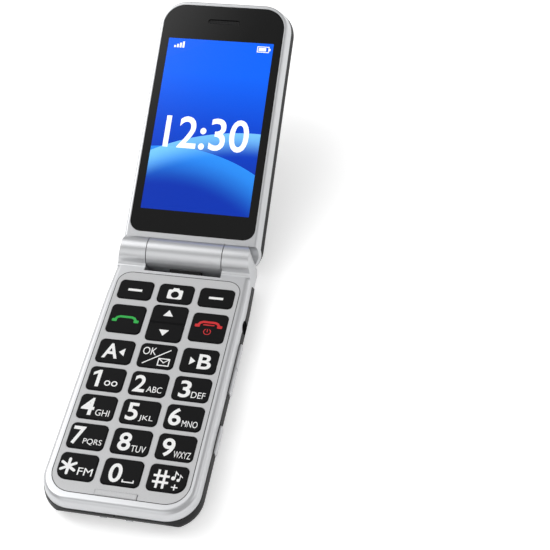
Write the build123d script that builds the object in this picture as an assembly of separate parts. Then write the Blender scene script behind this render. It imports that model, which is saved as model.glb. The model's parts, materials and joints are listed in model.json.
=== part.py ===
from build123d import *
import math
import os

# Folding mobile phone, lying open on its flat back. Millimetres.
# Both halves are drawn about the hinge axis and are then set in place. In a half's own axes +X is the right
# side. In the base, y is minus the distance from the hinge. In the flip, y is the distance from the hinge.
# In both, z is the height above the hinge axis, and the inner face looks to +Z.

# ---- whole phone ----
body_width = 53.0              # of the base at its inner face
flip_width = body_width - 0.9  # of the flip at its inner face
base_draft = 8.0               # degrees by which the base's sides spread towards its back
flip_draft = 16.0              # degrees by which the flip's sides spread towards its cover
display_start = 14.74          # hinge axis to the display
display_length = 78.0
forehead = 13.66               # display to the free end
base_thickness = 12.0
flip_thickness = 10.0
axis_lift = 0.6                # hinge axis above each inner face: half the gap between the closed halves
opening_angle = 154.8
free_corner = 10.4             # plan radius of the corners at the free ends, at the inner face
base_band = 4.5                # depth of the metallic band of the base
flip_band = 4.2                # depth of the metallic band of the flip
fit_gap = 0.1                  # between a piece and the pocket that holds it
run_gap = 0.3                  # between the parts of the two halves that pass each other
overcut = 1.0                  # by which a cut goes past the face that it opens

# ---- hinge ----
barrel_radius = 5.8
barrel_half = 14.6             # half length of the middle barrel, which belongs to the flip
knuckle_clear = 0.25           # round the knuckles
slot_radius = 8.65             # hollow of the base in which the barrel and the torch turn
block_corner = 3.2             # rounding of the barrel block at the phone's end
knuckle_fillet = 1.5           # hollow between the knuckle and the keypad face
waist = 0.7                    # by which the base is narrower at the hinge, on each side
waist_near, waist_far = 4.0, 20.0
waist_blend = 30.0
ear_length = 1.6               # how far the flip's ears reach past the hinge axis
ear_corner = 8.0
ear_rounding = 6.5             # of the ears towards the cover, seen from the side
ear_shell = 1.8                # metallic layer of the ears round the knuckles
notch_depth = 2.7              # end of the barrel block on the outer cover, past the hinge axis
pin_radius = 2.4
pin_play = 0.05
pin_reach = 4.9                # of the pins into the side knuckles
cartridge_radius = 3.0
cartridge_length = 13.0
cam_shaft = 3.5
bush_radius = 2.9
bush_bore = 1.9
bush_in_barrel = 5.6

# ---- base casing ----
back_bulge = 0.15              # rear case beyond the band, on each side
back_rounding = 4.5
free_end_rounding = 7.0        # of the back towards the free end
rim_rounding = 2.0
hinge_corner = 6.0
silver_back, silver_side = 4.5, 8.0  # edge of the metallic hinge end, on the back and at the part line
side_wall = 1.6
plate_rim = 2.7                # plate to the side of the base
plate_near = 10.0              # plate edge, as a distance from the hinge axis
plate_end_rim = 3.2            # plate to the free end
plate_thickness = 1.0
plate_near_corner = 5.2
plate_far_corner = 7.8
ledge = 1.2                    # under the rim of the plate
tab_width = 14.4
tab_length = 2.1
tab_height = 0.5
deck_top = 6.1                 # depth of the battery bay's roof below the hinge axis
deck_thickness = 0.8
door_seam = 10.4               # depth of the seam of the battery cover below the hinge axis
door_near = 30.6
door_near_corner = 5.2         # of the hollow of the battery cover
door_thickness = 1.2
door_rim = 2.4
nail_width, nail_height, nail_depth = 8.0, 0.8, 1.6
bay_near = 37.6
bay_end = 9.0                  # bay to the free end
bay_side = 8.7                 # bay to the side
chamber_near = 12.0            # room for the loudspeaker, sockets and motor
chamber_far = 29.6
chamber_side = 5.9
chamber_floor = 1.2
upper_inset = 1.9              # of the room above the deck from the inner face's outline

# ---- battery and boards ----
battery_rounding = 1.0
battery_spacing = 0.3
contact_size = (1.6, 1.4, 2.4)
contact_pitch = 3.2
board_thickness = 1.0
board_depth = 3.65             # top of the main board below the hinge axis
board_near = 12.4
board_end = 5.8                # board to the free end
board_side = 5.1               # board to the side
board_corner = 4.0
sim_width = 26.0
sim_length = 15.0
sim_thickness = 1.9
sim_wall = 0.3
sim_place = 55.0

# ---- keys ----
# Rows are measured from the plate's edge at the hinge. Rows and columns keep their share of the plate.
rows_span, columns_span = 93.2, 47.6
column_pitch = 15.56
side_key_width = 13.13
mid_key_width = 13.39
soft_row, soft_height = 8.5, 8.83
call_row, call_height = 22.2, 12.86
nav_height = 16.2
menu_row, menu_height = 36.86, 10.36
number_row, number_pitch, number_height = 48.86, 11.7, 9.92
key_corner = 1.8
key_big_corner = 3.8           # outer corners of the last row, which follow the plate's corners
key_proud = 0.5                # key tops above the plate
key_bevel = 0.35
key_play = 0.12
key_flange = 0.3
key_flange_thickness = 0.5
nav_groove = 0.3
nav_flange_drop = 0.4
mat_thickness = 0.4
mat_drop = 0.55                # top of the rubber mat under the flanges
dome_radius, dome_top, dome_height = 2.2, 1.2, 0.3
nav_dome_offset = 4.6

# ---- sockets, side keys and small parts ----
side_depth = 7.1               # middle of the side keys below the hinge axis
rocker_place, rocker_length = 44.7, 21.8
rocker_tilt = 1.6
side_key_place, side_key_length = 74.1, 11.4
side_key_height = 3.2
side_key_proud = 0.65
side_key_corner = 1.0
side_lip = 1.35                # wall that the side keys pass through
side_flange = 0.4
side_flange_thickness = 0.8
side_pocket = 4.0              # depth of the pocket behind the side keys
side_groove = 0.4
switch_size = (1.4, 3.4, 2.4)
switch_gap = 0.4
jack_place, jack_depth = 26.5, 6.2
jack_bore = 1.8
jack_nose = 2.6
jack_length = 15.0
jack_end_wall = 0.8
jack_body = (12.4, 6.0, 4.6)
usb_place, usb_depth = 26.5, 7.6
usb_width, usb_height, usb_length = 8.9, 3.2, 7.3
usb_wall = 0.3
usb_tongue = 0.7
speaker_place = 17.4
speaker_width, speaker_thickness = 9.0, 3.0
speaker_side_gap = 0.4         # speaker to the side of its room
speaker_key_gap = 0.5          # speaker to the flange of the SOS key
speaker_rounding = 2.0
grille_slots, grille_pitch, grille_length, grille_width = 5, 2.0, 6.0, 0.9
motor_radius, motor_thickness = 4.0, 2.7
motor_place = (12.0, 17.0)
sos_radius = 5.0
sos_place = 19.0
sos_recess = 0.2
sos_flange = 0.7
sos_travel = 0.4
sos_dish = 0.3
mic_radius, mic_thickness = 2.0, 1.3
mic_end = 8.2                  # microphone to the free end
mic_hole, mic_hole_depth, mic_hole_reach = 0.35, 5.6, 12.0
charge_pad = (2.4, 2.8, 1.6)
charge_pitch = 9.0
charge_depth = 8.2
charge_out = 0.4               # pads past the end of the inner face
screw_radius, screw_head, screw_head_height = 0.7, 1.3, 0.9
screw_near, screw_end = 32.0, 11.4
screw_side = 2.6
screw_length = 8.0

# ---- flip ----
outer_rounding = 3.0
flip_rim_rounding = 1.0
cover_wall = 1.2
cover_side_wall = 1.4
shelf_depth = 1.2              # of the glass pocket below the inner face
shelf_thickness = 0.9
flip_side_wall = 2.4
cavity_near = 9.6
cavity_end = 2.4               # cavity to the free end
glass_rim = 1.225              # glass to the side of the flip
glass_near = 8.24
glass_end_rim = 1.58
glass_near_corner, glass_far_corner = 4.5, 8.6
glass_thickness = 1.0
glass_recess = 0.1
display_side = 1.625           # display to the glass's edge
display_thickness = 2.0
slot_end, slot_length, slot_height = 8.3, 13.0, 2.0
slot_gap = 0.15
grille_depth = 0.3
earpiece_size = (14.0, 6.0, 2.1)
flip_board_near, flip_board_far, flip_board_side = 10.6, 46.0, 6.15
flip_board_corner = 1.0
flip_board_depth, flip_board_thickness = 4.2, 0.8
camera_place = 16.0
camera_width, camera_height = 9.4, 11.0
camera_dome = 0.35
camera_base = 8.0
camera_barrel = 3.2
lens_x, lens_places = -2.6, (23.4, 26.7)
lens_length, lens_height = 5.1, 2.2
trim_place, trim_length, trim_width, trim_depth = 34.9, 39.8, 1.5, 0.5
trim_proud = 0.15
torch_width, torch_near, torch_far = 12.2, 0.8, 4.0
torch_proud, torch_set = 1.5, 1.2
torch_rounding = 0.5
led_size = (3.0, 1.2, 2.0)
boss_radius = 1.9
flip_screw_near, flip_screw_near_side = 12.8, 5.0
flip_screw_end, flip_screw_far_side = 6.8, 6.6
flip_screw_head, flip_screw_head_height, flip_screw_length = 1.3, 0.4, 4.5
flex_radius, flex_wall, flex_width, flex_thickness = 1.5, 0.3, 5.0, 0.25
flex_overlap = 3.0             # on the flip's board

# ---- sizes that follow from those above ----
half_length = display_start + display_length + forehead  # hinge axis to the free end, at the inner faces
base_slope = math.tan(math.radians(base_draft))
flip_slope = math.tan(math.radians(flip_draft))
base_top = -axis_lift
base_back = base_top - base_thickness
base_part_line = base_top - base_band
flip_top = -axis_lift
flip_back = flip_top - flip_thickness
flip_part_line = flip_top - flip_band
tilt = 180.0 - opening_angle
knuckle_start = barrel_half + run_gap
plate_back = base_top - plate_thickness
key_shoulder = plate_back - fit_gap
key_bottom = key_shoulder - key_flange_thickness
mat_top = key_bottom - mat_drop
board_top = -board_depth
board_back = board_top - board_thickness
chamber_bottom = base_back + chamber_floor
door_inside = base_back + door_thickness
door_line = -door_seam
glass_top = flip_top - glass_recess
glass_back = glass_top - glass_thickness
shelf_top = flip_top - shelf_depth
shelf_back = shelf_top - shelf_thickness
cover_inside = flip_back + cover_wall
side_face = body_width / 2 + back_bulge + base_slope * (side_depth - axis_lift)
plate_half = body_width / 2 - plate_rim
plate_far = half_length - plate_end_rim
row_unit = (plate_far - plate_near) / rows_span
column_unit = 2 * plate_half / columns_span
bay_far = half_length - bay_end
bay_half = body_width / 2 - bay_side
chamber_half = body_width / 2 - chamber_side
speaker_length = chamber_half - speaker_side_gap - speaker_key_gap - sos_radius - sos_flange
speaker_x = speaker_side_gap + speaker_length / 2 - chamber_half
board_far = half_length - board_end
board_half = body_width / 2 - board_side
screw_places = (screw_near, half_length - screw_end)
screw_x = body_width / 2 - screw_side
mic_place = half_length - mic_end
cavity_far = half_length - cavity_end
glass_width = flip_width - 2 * glass_rim
glass_far = half_length - glass_end_rim
display_centre = display_start + display_length / 2
display_width = glass_width - 2 * display_side
slot_place = half_length - slot_end
flip_board_half = flip_width / 2 - flip_board_side
flip_screw_places = ((flip_width / 2 - flip_screw_near_side, flip_screw_near),
                     (flip_width / 2 - flip_screw_far_side, half_length - flip_screw_end))
block_drop = flip_thickness + axis_lift - block_corner
block_reach = math.hypot(barrel_radius - block_corner, block_drop) + block_corner
# The part's origin is at the middle of the flat back.
hinge_y = half_length / 2
hinge_z = -base_back
far = 400.0                    # longer than anything that is cut


def panel(width, near, end, near_corner, end_corner, low, high):
    """Flat slab between two distances along a half, with its own corner radius at each end."""
    face = Rectangle(width, abs(end - near))
    if near_corner:
        face = fillet(face.vertices().group_by(Axis.Y)[0 if near < end else -1], near_corner)
    if end_corner:
        face = fillet(face.vertices().group_by(Axis.Y)[-1 if near < end else 0], end_corner)
    return Pos(0, (near + end) / 2, low) * extrude(face, high - low)


def block(x_low, x_high, y_low, y_high, z_low, z_high):
    """Box between its limits."""
    size = Box(x_high - x_low, y_high - y_low, z_high - z_low)
    return Pos((x_low + x_high) / 2, (y_low + y_high) / 2, (z_low + z_high) / 2) * size


def box_at(x, y, z_low, size):
    """Box standing on a height."""
    return Pos(x, y, z_low + size[2] / 2) * Box(*size)


def rod(radius, x_low, x_high, y=0.0, z=0.0):
    """Cylinder along X."""
    return Pos((x_low + x_high) / 2, y, z) * Rot(0, 90, 0) * Cylinder(radius, x_high - x_low)


def post(radius, x, y, z_low, z_high):
    """Upright cylinder."""
    return Pos(x, y, (z_low + z_high) / 2) * Cylinder(radius, z_high - z_low)


def profile(points, x_low, x_high):
    """Prism along X over a closed outline in Y and Z."""
    face = make_face(Polyline(*points, close=True))
    return Pos(x_low, 0, 0) * extrude(Plane.YZ * face, x_high - x_low)


def beyond_open_flip(limit):
    """Everything on the hinge side of the open flip's ears, in the base's axes."""
    return Rot(tilt, 0, 0) * Pos(0, limit + far / 2, 0) * Box(far, far, far)


def flip_side_view(margin):
    """Room of the flip and its ears seen from the side, grown by a margin."""
    end, back = -ear_length - margin, flip_back - margin
    face = Pos((end + far) / 2, (back + far) / 2) * Rectangle(far - end, far - back)
    corner = face.vertices().sort_by(Axis.X)[:2].sort_by(Axis.Y)[0]
    face = fillet([corner], ear_rounding + margin)
    return Pos(-far / 2, 0, 0) * extrude(Plane.YZ * face, far)


def mirrored(solid):
    """A solid and its twin on the other side of the phone."""
    return [solid, mirror(solid, Plane.YZ)]


def edges_at(solid, height):
    """Edges that lie all in one level plane."""
    level = 0.001
    return [e for e in solid.edges() if all(abs(v.Z - height) < level for v in e.vertices())
            and abs((e @ 0.5).Z - height) < level]


# ---- keys ----

def key_table():
    """Name, place, size and corner radii of each of the keys."""
    left, right = -column_pitch, column_pitch
    table = [
        ("key_soft_left", left, soft_row, side_key_width, soft_height),
        ("key_camera", 0.0, soft_row, mid_key_width, soft_height),
        ("key_soft_right", right, soft_row, side_key_width, soft_height),
        ("key_call", left, call_row, side_key_width, call_height),
        ("key_nav", 0.0, call_row, mid_key_width, nav_height),
        ("key_end", right, call_row, side_key_width, call_height),
        ("key_a", left, menu_row, side_key_width, menu_height),
        ("key_ok", 0.0, menu_row, mid_key_width, menu_height),
        ("key_b", right, menu_row, side_key_width, menu_height),
    ]
    numbers = [("key_1", "key_2", "key_3"), ("key_4", "key_5", "key_6"),
               ("key_7", "key_8", "key_9"), ("key_star", "key_0", "key_hash")]
    for row, names in enumerate(numbers):
        for column, name in enumerate(names):
            width = mid_key_width if column == 1 else side_key_width
            place = number_row + row * number_pitch
            table.append((name, (column - 1) * column_pitch, place, width, number_height))
    return [(name, x * column_unit, plate_near + place * row_unit, width * column_unit, height * row_unit)
            for name, x, place, width, height in table]


def key_face(name, width, height, grow=0.0):
    """Rounded outline of a key, grown by a margin."""
    face = Rectangle(width + 2 * grow, height + 2 * grow)
    big = {"key_star": -1, "key_hash": 1}.get(name, 0)
    if big:
        low = face.vertices().group_by(Axis.Y)[0].sort_by(Axis.X)
        face = fillet([low[0] if big < 0 else low[-1]], key_big_corner + grow)
        sharp = [v for v in face.vertices() if abs(abs(v.X) - width / 2 - grow) < fit_gap
                 and abs(abs(v.Y) - height / 2 - grow) < fit_gap]
        return fillet(sharp, key_corner + grow)
    return fillet(face.vertices(), key_corner + grow)


def key(name, x, place, width, height):
    """Key cap with its flange under the plate; the up and down key has a groove across and room to rock."""
    drop = nav_flange_drop if name == "key_nav" else 0.0
    shoulder = key_shoulder - drop
    top = base_top + key_proud
    cap = Pos(0, 0, shoulder) * extrude(key_face(name, width, height), top - shoulder)
    cap = chamfer(edges_at(cap, top), key_bevel)
    foot_thickness = key_flange_thickness - drop / 2
    foot = extrude(key_face(name, width, height, key_flange), foot_thickness)
    solid = cap + Pos(0, 0, shoulder - foot_thickness) * foot
    if name == "key_nav":
        depth = nav_groove
        solid -= profile([(-2 * depth, top + fit_gap), (2 * depth, top + fit_gap), (0, top - depth)],
                         -width, width)
    return Pos(x, -place, 0) * solid


def keypad_plate():
    """Inset plate with a hole for each key and the raised rest tab at the free end."""
    plate = panel(2 * (plate_half - fit_gap), -plate_near - fit_gap, -plate_far + fit_gap,
                  plate_near_corner, plate_far_corner, plate_back, base_top)
    holes = [Pos(x, -place, plate_back - overcut)
             * extrude(key_face(name, width, height, key_play), plate_thickness + 2 * overcut)
             for name, x, place, width, height in key_table()]
    tab = block(-tab_width / 2, tab_width / 2, -plate_far + fit_gap, -plate_far + tab_length,
                plate_back + plate_thickness / 2, base_top + tab_height)
    tab = chamfer(edges_at(tab, base_top + tab_height), tab_height / 2)
    return plate - holes + tab


def keypad_mat():
    return panel(2 * board_half, -board_near, -board_far, board_corner, board_corner,
                 mat_top - mat_thickness, mat_top)


def key_domes():
    """Snap domes under the keys, two under the rocking key."""
    domes = []
    for name, x, place, width, height in key_table():
        offsets = (-nav_dome_offset, nav_dome_offset) if name == "key_nav" else (0.0,)
        for offset in offsets:
            dome = Cone(dome_radius, dome_top, dome_height)
            domes.append(Pos(x, offset - place, board_top + dome_height / 2) * dome)
    return domes


# ---- base ----

def barrel_room():
    """Hollow in the base in which the barrel block turns."""
    half = knuckle_start
    wide = rod(block_reach + run_gap, -half, half) & beyond_open_flip(-barrel_radius - run_gap)
    return rod(slot_radius, -half, half) + wide


def base_envelope(margin, top):
    """Outer form of the base up to a height: drafted all round, with a slight waist at the hinge end."""
    spread = base_slope * base_thickness + margin
    half, free_end, hinge_end = body_width / 2 + spread, half_length + spread, barrel_radius + spread
    right = [(half, -free_end), (half, -waist_far), (half - waist, -waist_near), (half - waist, hinge_end)]
    left = [(-x, y) for x, y in reversed(right)]
    face = make_face(Polyline(*right, *left, close=True))
    ends = face.vertices().sort_by(Axis.Y)
    face = fillet(ends[:2], free_corner + spread)
    face = fillet(face.vertices().sort_by(Axis.Y)[-2:], hinge_corner + spread)
    turns = [v for v in face.vertices() if min(abs(v.Y + waist_near), abs(v.Y + waist_far)) < fit_gap]
    face = fillet(turns, waist_blend)
    return Pos(0, 0, base_back) * extrude(face, top - base_back, taper=base_draft)


def base_side_view():
    """The base seen from the side, with the wide rounding of the back towards the free end."""
    end = half_length + back_bulge + fit_gap
    low = base_back - pin_play
    outline = [(-end - base_slope * (base_top - low), low), (far, low), (far, far),
               (-end + base_slope * far, far)]
    face = make_face(Polyline(*outline, close=True))
    face = fillet([face.vertices().group_by(Axis.Y)[0].sort_by(Axis.X)[0]], free_end_rounding)
    return Pos(-far / 2, 0, 0) * extrude(Plane.YZ * face, far)


def knuckle():
    """Right side knuckle, ending at the base's side, with its hollow fillet down to the keypad face."""
    rise = knuckle_fillet - axis_lift
    reach = math.sqrt((barrel_radius + knuckle_fillet) ** 2 - rise ** 2)
    share = barrel_radius / (barrel_radius + knuckle_fillet)
    on_face = (-reach, base_top)
    on_drum = (-reach * share, rise * share)
    diagonal = knuckle_fillet * math.sqrt(0.5)
    middle = (-reach + diagonal, rise - diagonal)
    below_face = (on_face[0], base_top - knuckle_fillet)
    below_drum = (on_drum[0] * share, base_top - knuckle_fillet)
    edge = Curve() + [ThreePointArc(on_face, middle, on_drum), Line(on_drum, below_drum),
                      Line(below_drum, below_face), Line(below_face, on_face)]
    web = Pos(knuckle_start, 0, 0) * extrude(Plane.YZ * make_face(edge), body_width / 2)
    solid = rod(barrel_radius, knuckle_start, knuckle_start + body_width / 2) + web
    return solid & base_envelope(0.0, barrel_radius + overcut)


def jack_passage(margin):
    """Round way of the headphone plug through the side."""
    return rod(jack_nose + margin, body_width / 2 - jack_length, body_width, -jack_place, -jack_depth)


def silver_zone():
    """What the metallic band takes of the base: the inner layer, and at the hinge all down to the back."""
    outline = [(-far, base_part_line), (-silver_side, base_part_line), (-silver_back, base_back),
               (-silver_back, -far), (far, -far), (far, far), (-far, far)]
    return profile(outline, -far, far)


def upper_room():
    """Room for the boards between the deck and the keypad."""
    inner = body_width - 2 * upper_inset
    return panel(inner, -chamber_near, -half_length + upper_inset, board_corner, free_corner - upper_inset,
                 -deck_top, 0)


def chamber():
    return block(-chamber_half, chamber_half, -chamber_far, -chamber_near, chamber_bottom, 0)


def front_frame():
    """Metallic band of the base: rim round the keypad, ledge under it, hinge end and side knuckles."""
    body = base_envelope(0.0, base_top)
    body = fillet(edges_at(body, base_top), rim_rounding)
    body = fillet(edges_at(body, base_back), back_rounding)
    body = (body & base_side_view() & silver_zone()) - flip_side_room()
    for side in mirrored(knuckle()):
        body += side
    body -= barrel_room()
    body -= panel(2 * plate_half, -plate_near, -plate_far, plate_near_corner, plate_far_corner,
                  plate_back, base_top + overcut)
    inner = plate_half - ledge
    body -= panel(2 * inner, -plate_near - ledge, -plate_far + ledge, plate_near_corner - ledge,
                  plate_far_corner - ledge, base_part_line, plate_back + overcut)
    body -= chamber()
    body -= upper_room() & block(-far, far, -far, far, -far, base_part_line)
    body -= rod(pin_radius + pin_play, knuckle_start - overcut, knuckle_start + pin_reach + pin_play)
    body -= rod(bush_radius, -knuckle_start - pin_reach, -knuckle_start + overcut)
    body -= jack_passage(pin_play)
    for x in (-screw_x, screw_x):
        for place in screw_places:
            body -= post(screw_radius, x, -place, base_part_line - overcut, door_line + screw_length)
    return body


def flip_side_room():
    """Room that the ears of the open flip need at the hinge end of the base."""
    return Rot(tilt, 0, 0) * flip_side_view(run_gap)


def rear_envelope():
    """Outer form of the black back of the base, before it is split into case and battery cover."""
    body = base_envelope(back_bulge, base_part_line)
    body = fillet(edges_at(body, base_back), back_rounding)
    return (body & base_side_view()) - silver_zone() - barrel_room()


def door_zone(margin):
    """Space of the battery cover: the lower layer of the back, away from the hinge."""
    return block(-far, far, -far, -door_near + margin, base_back - overcut, door_line + margin)


def side_slot(place, length):
    """Way of a side key through the wall, and the wider pocket behind it."""
    half, tall = length / 2 + key_play, side_key_height / 2 + key_play
    lip = side_face - side_lip
    way = block(lip - overcut, side_face + overcut, -place - half, -place + half,
                -side_depth - tall, -side_depth + tall)
    half, tall = half + side_flange, tall + side_flange
    top = min(-side_depth + tall, base_part_line)
    room = block(side_face - side_pocket, lip, -place - half, -place + half, -side_depth - tall, top)
    return way + room


def grille():
    """Slots in front of the loudspeaker."""
    slots = []
    for index in range(grille_slots):
        shift = (index - (grille_slots - 1) / 2) * grille_pitch
        slot = extrude(SlotOverall(grille_length, grille_width, rotation=90), chamber_floor + 2 * overcut)
        slots.append(Pos(speaker_x + shift, -speaker_place, base_back - overcut) * slot)
    return slots


def rear_case():
    """Black tub of the base: deck over the battery bay, chamber at the hinge end, ways for the keys."""
    body = rear_envelope() - door_zone(0.0) - upper_room() - chamber()
    body -= block(-bay_half, bay_half, -bay_far, -bay_near, door_line - overcut, -deck_top - deck_thickness)
    x = sim_width / 2 + fit_gap
    y = sim_length / 2 + fit_gap
    body -= block(-x, x, -sim_place - y, -sim_place + y, -deck_top - deck_thickness - overcut, 0)
    body -= side_slot(rocker_place, rocker_length)
    body -= side_slot(side_key_place, side_key_length)
    body -= jack_passage(pin_play)
    body -= usb_mouth(fit_gap)
    body -= post(sos_radius + key_play, 0, -sos_place, base_back - overcut, chamber_bottom + overcut)
    body -= grille()
    for x in (-screw_x, screw_x):
        for place in screw_places:
            body -= post(screw_radius + fit_gap, x, -place, door_line - overcut, base_part_line + overcut)
            body -= post(screw_head + fit_gap, x, -place, door_line - overcut, door_line + screw_head_height)
    for x in (-charge_pitch / 2, charge_pitch / 2):
        body -= charge_pad_at(x)
    body -= battery_contacts()
    hole = Rot(90, 0, 0) * Cylinder(mic_hole, mic_hole_reach)
    body -= Pos(0, -mic_place - mic_hole_reach / 2, -mic_hole_depth) * hole
    body -= block(-nail_width / 2, nail_width / 2, -far, -half_length + nail_depth, door_line - overcut,
                  door_line + nail_height)
    return body


def battery_cover():
    """Battery cover: the lower layer of the back with a raised rim along its edge."""
    zone = door_zone(-fit_gap)
    cover = rear_envelope() & zone
    inner = 2 * (side_face - door_rim)
    hollow = panel(inner, -door_near - door_rim, -half_length + door_rim, door_near_corner,
                   free_corner - door_rim, door_inside, 0)
    return cover - hollow


def battery():
    """Flat cell with rounded long edges."""
    gap = battery_spacing
    cell = block(-bay_half + gap, bay_half - gap, -bay_far + gap, -bay_near - gap,
                 door_inside + gap, -deck_top - deck_thickness - fit_gap)
    return fillet(cell.edges().filter_by(Axis.Y), battery_rounding)


def battery_contacts():
    """Three spring contacts in the wall of the bay at the hinge end."""
    y = -bay_near + contact_size[1] / 2 + battery_spacing
    z = -deck_top - deck_thickness - contact_size[2]
    return [box_at(index * contact_pitch, y, z, contact_size) for index in (-1, 0, 1)]


def main_board():
    """Circuit board under the keys, cut away round the headphone socket."""
    board = panel(2 * board_half, -board_near, -board_far, board_corner, board_corner, board_back, board_top)
    x_size, y_size, z_size = jack_body
    near = -jack_place + y_size / 2 + fit_gap
    inner = body_width / 2 - jack_length - fit_gap
    return board - block(inner, body_width, near - y_size - 2 * fit_gap, near, board_back - overcut, 0)


def sim_holder():
    """Metal card holder under the board, open to the battery bay."""
    holder = box_at(0, -sim_place, board_back - sim_thickness, (sim_width, sim_length, sim_thickness))
    wall = sim_wall
    slit = box_at(0, -sim_place - wall, board_back - sim_thickness + wall,
                  (sim_width - 2 * wall, sim_length, sim_thickness - 2 * wall))
    return holder - slit


def loudspeaker():
    """Small oblong loudspeaker on the floor of the chamber, facing the slots."""
    face = RectangleRounded(speaker_length, speaker_width, speaker_rounding)
    return Pos(speaker_x, -speaker_place, chamber_bottom) * extrude(face, speaker_thickness)


def vibration_motor():
    x, place = motor_place
    return post(motor_radius, x, -place, chamber_bottom, chamber_bottom + motor_thickness)


def microphone():
    return post(mic_radius, 0, -mic_place, board_back - mic_thickness, board_back)


def charge_pad_at(x):
    """One contact pad for a charging stand, flush with the free end."""
    x_size, y_size, z_size = charge_pad
    end = -half_length - charge_out
    return block(x - x_size / 2, x + x_size / 2, end, end + y_size,
                 -charge_depth - z_size / 2, -charge_depth + z_size / 2)


def charge_contacts():
    return [charge_pad_at(x) for x in (-charge_pitch / 2, charge_pitch / 2)]


def headphone_jack():
    """Headphone socket: bored block with a round nose in the side wall."""
    x_size, y_size, z_size = jack_body
    outside = side_face - side_wall / 2
    inside = body_width / 2 - jack_length
    shoulder = chamber_half - fit_gap
    body = block(inside, shoulder, -jack_place - y_size / 2, -jack_place + y_size / 2,
                 -jack_depth - z_size / 2, -jack_depth + z_size / 2)
    body += rod(jack_nose, shoulder - overcut, outside, -jack_place, -jack_depth)
    return body - rod(jack_bore, inside + jack_end_wall, outside + overcut, -jack_place, -jack_depth)


def usb_outline(margin):
    return SlotOverall(usb_width + 2 * margin, usb_height + 2 * margin)


def usb_mouth(margin):
    """Opening and room of the charging socket in the left side."""
    start = side_face + overcut
    shape = Plane.YZ * usb_outline(margin)
    return Pos(-start, -usb_place, -usb_depth) * extrude(shape, usb_length + overcut + margin + fit_gap)


def usb_socket():
    """Metal shell of the charging socket with its contact tongue."""
    shell = extrude(Plane.YZ * usb_outline(0.0), usb_length)
    hollow = Pos(-usb_wall, 0, 0) * extrude(Plane.YZ * usb_outline(-usb_wall), usb_length)
    tongue = Box(usb_length - 2 * usb_wall, usb_width - usb_height, usb_tongue)
    whole = shell - hollow + Pos(usb_length / 2 + usb_wall, 0, 0) * tongue
    return Pos(-side_face + fit_gap, -usb_place, -usb_depth) * whole


def side_button(place, length, gap):
    """Long key in the right side, with a flange behind the wall; gap is its room behind the lip."""
    outside = side_face + side_key_proud
    inner = side_face - side_lip - gap
    face = RectangleRounded(length, side_key_height, side_key_corner)
    cap = Pos(inner - fit_gap, -place, -side_depth) * extrude(Plane.YZ * face, outside - inner + fit_gap)
    top_edges = [e for e in cap.edges() if all(v.X > outside - fit_gap for v in e.vertices())]
    cap = chamfer(top_edges, key_bevel)
    tall = side_key_height / 2 + side_flange
    top = min(-side_depth + tall, base_part_line - fit_gap)
    flange = block(inner - side_flange_thickness, inner, -place - length / 2 - side_flange,
                   -place + length / 2 + side_flange, -side_depth - tall, top)
    return cap + flange


def rocker_gap():
    """Room that the rocker's ends need behind the lip."""
    return fit_gap + rocker_length / 2 * math.sin(math.radians(rocker_tilt))


def volume_rocker():
    """Volume key: one long key with a groove across its middle."""
    solid = side_button(rocker_place, rocker_length, rocker_gap())
    outside = side_face + side_key_proud
    return solid - block(outside - side_groove, outside + overcut, -rocker_place - side_groove / 2,
                         -rocker_place + side_groove / 2, -far, far)


def side_key():
    return side_button(side_key_place, side_key_length, fit_gap)


def sos_key():
    """Round key in the back, just below the surface, with a dished face."""
    low = base_back + sos_recess
    cap = post(sos_radius, 0, -sos_place, low, chamber_bottom + fit_gap)
    flange = post(sos_radius + sos_flange, 0, -sos_place, chamber_bottom + fit_gap,
                  chamber_bottom + fit_gap + key_flange_thickness)
    reach = sos_radius * 2
    ball = (reach ** 2 + sos_dish ** 2) / (2 * sos_dish)
    return cap + flange - Pos(0, -sos_place, low + sos_dish - ball) * Sphere(ball)


def tact_switches():
    """Push switches behind the side keys and the emergency key."""
    x_size, y_size, z_size = switch_size
    switches = []
    rocker_back = side_face - side_lip - rocker_gap() - side_flange_thickness
    for shift in (-rocker_length / 4, rocker_length / 4):
        switches.append((rocker_back, rocker_place + shift))
    switches.append((side_face - side_lip - fit_gap - side_flange_thickness, side_key_place))
    low = side_face - side_pocket
    solids = [block(low, back - switch_gap, -place - y_size / 2, -place + y_size / 2,
                    -side_depth - z_size / 2, -side_depth + z_size / 2) for back, place in switches]
    sos_top = chamber_bottom + fit_gap + key_flange_thickness + sos_travel + fit_gap
    solids.append(block(-y_size / 2, y_size / 2, -sos_place - y_size / 2, -sos_place + y_size / 2,
                        sos_top, board_back))
    return solids


def rear_screws():
    """Four screws from the back of the rear case into the metallic band."""
    screws = []
    for x in (-screw_x, screw_x):
        for place in screw_places:
            head = post(screw_head, x, -place, door_line, door_line + screw_head_height)
            shank = post(screw_radius, x, -place, door_line + fit_gap, door_line + screw_length)
            screws.append(head + shank)
    return screws


def hinge_cam():
    """Pin of the sprung hinge: its head is set in the right knuckle and its shaft enters the cartridge."""
    head = rod(pin_radius, barrel_half + fit_gap, knuckle_start + pin_reach)
    return head + rod(pin_radius / 2, barrel_half - cam_shaft, barrel_half + 2 * fit_gap)


def hinge_bush():
    """Hollow pin of the left knuckle, on which the barrel turns; the flexible circuit passes through it."""
    tube = rod(bush_radius, -knuckle_start - pin_reach, -barrel_half + bush_in_barrel)
    return tube - rod(bush_bore, -far, far)


# ---- flip ----

def knuckle_room():
    """Space of the side knuckles in the flip."""
    radius = barrel_radius + knuckle_clear
    start = barrel_half + run_gap / 2
    return rod(radius, start, far) + rod(radius, -far, -start)


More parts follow.
